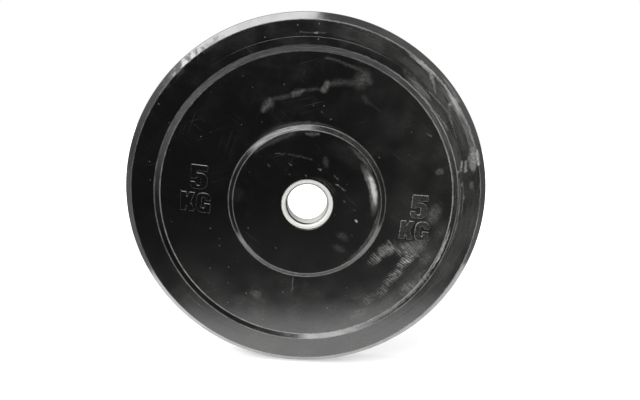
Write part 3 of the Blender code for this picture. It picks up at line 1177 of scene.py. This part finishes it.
# Soft light, as large panels: place and target, width and depth in metres, and radiance.
SOFTBOX = ((-2.5, -1.45, 3.0), (-2.5, -1.45, 0.0), 5.0, 3.5, 6.6)
FILL_PANEL = ((0.0, -2.6, 1.45), (0.0, 0.0, 0.0), 2.0, 1.1, 5.0)


def build_world():
    """White for the camera. Other rays see the white backdrop behind and the dim room in front."""
    world = bpy.data.worlds.new("studio")
    bpy.context.scene.world = world
    world.use_nodes = True
    tree = world.node_tree
    tree.nodes.clear()
    where = add(tree, "ShaderNodeTexCoord")
    split = add(tree, "ShaderNodeSeparateXYZ", {0: where.outputs["Generated"]})
    behind = add(
        tree,
        MAP_RANGE,
        {
            "Value": split.outputs["Y"],
            "From Min": BACKDROP_FROM,
            "From Max": BACKDROP_FULL,
            "To Max": BACKDROP_LIGHT,
        },
        interpolation_type="SMOOTHSTEP",
    )
    raised = add(
        tree,
        MAP_RANGE,
        {"Value": split.outputs["Z"], "From Max": BACKDROP_LIFT, "To Min": LOW_SHARE},
        interpolation_type="SMOOTHSTEP",
    )
    wall = add(tree, MATH, {0: behind, 1: raised}, operation="MULTIPLY")
    strength = add(tree, MATH, {0: wall, 1: ROOM_LIGHT}, operation="ADD")
    room = add(tree, "ShaderNodeBackground", {"Color": (1, 1, 1, 1), "Strength": strength})
    white = add(tree, "ShaderNodeBackground", {"Color": (1, 1, 1, 1)})
    path = add(tree, "ShaderNodeLightPath")
    seen = add(tree, "ShaderNodeMixShader", {0: path.outputs["Is Camera Ray"], 1: room, 2: white})
    add(tree, "ShaderNodeOutputWorld", {"Surface": seen})


def reflected_floor(tree, x, y):
    """The floor's colour as reflections see it: the white sheet and the darker floor round it, with
    painted shade of the camera and photographer at the middle of the sheet's front edge.
    """
    leaning = add(tree, MATH, {0: y, 1: SHEET_LEFT_LEAN, 2: x}, operation="MULTIPLY_ADD")
    from_left = add(
        tree,
        MAP_RANGE,
        {"Value": leaning, "From Min": SHEET_LEFT - SHEET_SIDE_FADE, "From Max": SHEET_LEFT},
        interpolation_type="SMOOTHSTEP",
    )
    from_right = add(
        tree,
        MAP_RANGE,
        {"Value": x, "From Min": SHEET_RIGHT + SHEET_SIDE_FADE, "From Max": SHEET_RIGHT},
        interpolation_type="SMOOTHSTEP",
    )
    # The front edge dips in the middle as painted shade of the camera and photographer.
    at_right = add(tree, MATH, {0: x, 1: 0.0}, operation="MAXIMUM")
    at_left = add(tree, MATH, {0: x, 1: 0.0}, operation="MINIMUM")
    rightward = add(tree, MATH, {0: at_right, 1: FRONT_SHADE_RIGHT_SPREAD, 2: y}, operation="MULTIPLY_ADD")
    front_edge_with_shade = add(tree, MATH, {0: at_left, 1: -FRONT_SHADE_LEFT_SPREAD, 2: rightward}, operation="MULTIPLY_ADD")
    half = SHEET_FRONT_FADE / 2
    from_front = add(
        tree,
        MAP_RANGE,
        {"Value": front_edge_with_shade, "From Min": SHEET_FRONT - half, "From Max": SHEET_FRONT + half},
        interpolation_type="SMOOTHSTEP",
    )
    sides = add(tree, MATH, {0: from_left, 1: from_right}, operation="MULTIPLY")
    away = add(tree, MATH, {0: at_left, 1: FRONT_FLOOR_LEFT_SHARE, 2: y}, operation="MULTIPLY_ADD")
    from_far = add(
        tree, MAP_RANGE, {"Value": away, "From Min": FRONT_FLOOR_FAR, "From Max": FRONT_FLOOR_NEAR}
    )
    before = add(
        tree,
        MIX,
        {"Factor": from_far, "A": linear(FAR_FLOOR_COLOUR), "B": linear(FRONT_FLOOR_COLOUR)},
        data_type="RGBA",
    )
    side_back = SIDE_FLOOR_FRONT + SIDE_FLOOR_FADE
    from_side_front = add(
        tree,
        MAP_RANGE,
        {"Value": y, "From Min": SIDE_FLOOR_FRONT, "From Max": side_back},
        interpolation_type="SMOOTHSTEP",
    )
    beside = add(
        tree,
        MIX,
        {"Factor": from_side_front, "A": before, "B": linear(SIDE_FLOOR_COLOUR)},
        data_type="RGBA",
    )
    across = add(tree, MIX, {"Factor": sides, "A": beside, "B": linear(SHEET_COLOUR)}, data_type="RGBA")
    return add(tree, MIX, {"Factor": from_front, "A": before, "B": across}, data_type="RGBA")


def build_floor():
    """The floor, all white sheet to the camera, which keeps the plate's shadow."""
    low = -PLATE_RADIUS
    reach = FLOOR_REACH
    corners = [(-reach, -reach, low), (reach, -reach, low), (reach, reach, low), (-reach, reach, low)]
    floor = add_mesh("floor", corners, [(0, 1, 2, 3)])
    material, tree = new_material("white_sheet")
    spot = spot_in_mm(tree)
    split = add(tree, "ShaderNodeSeparateXYZ", {0: spot})
    reflected = reflected_floor(tree, split.outputs["X"], split.outputs["Y"])
    path = add(tree, "ShaderNodeLightPath")
    by_camera = path.outputs["Is Camera Ray"]
    colour = add(
        tree, MIX, {"Factor": by_camera, "A": reflected, "B": linear(SHEET_COLOUR)}, data_type="RGBA"
    )
    paper = add(tree, "ShaderNodeBsdfDiffuse", {"Color": colour})
    far = add(tree, VECTOR_MATH, {0: spot}, operation="LENGTH")
    seen_glow = add(
        tree,
        MAP_RANGE,
        {
            "Value": far.outputs["Value"],
            "From Min": SEEN_NEAR,
            "From Max": SEEN_FAR,
            "To Min": SEEN_GLOW,
            "To Max": SEEN_FAR_GLOW,
        },
    )
    strength = add(tree, MIX, {"Factor": by_camera, "A": SHEET_GLOW, "B": seen_glow})
    glow = add(tree, "ShaderNodeEmission", {"Color": colour, "Strength": strength})
    lit_through = add(tree, "ShaderNodeAddShader", {0: paper, 1: glow})
    add(tree, "ShaderNodeOutputMaterial", {"Surface": lit_through})
    floor.data.materials.append(material)


def light_panel(name, place, target, width, depth, radiance):
    """A soft panel that the camera doesn't see. Its radiance is the same all over."""
    light = bpy.data.lights.new(name, "AREA")
    light.shape = "RECTANGLE"
    light.size = width
    light.size_y = depth
    light.energy = radiance * math.pi * width * depth
    panel = bpy.data.objects.new(name, light)
    bpy.context.scene.collection.objects.link(panel)
    aim = Vector(target) - Vector(place)
    turn = aim.to_track_quat("-Z", "Y").to_matrix().to_4x4()
    panel.matrix_world = Matrix.Translation(place) @ turn
    panel.visible_camera = False


def build_lights():
    """A large softbox overhead at the left, and a fill panel in front."""
    light_panel("softbox", *SOFTBOX)
    light_panel("fill_panel", *FILL_PANEL)


bpy.context.scene.view_settings.view_transform = "Standard"
build_plate()
build_camera()
build_world()
build_floor()
build_lights()
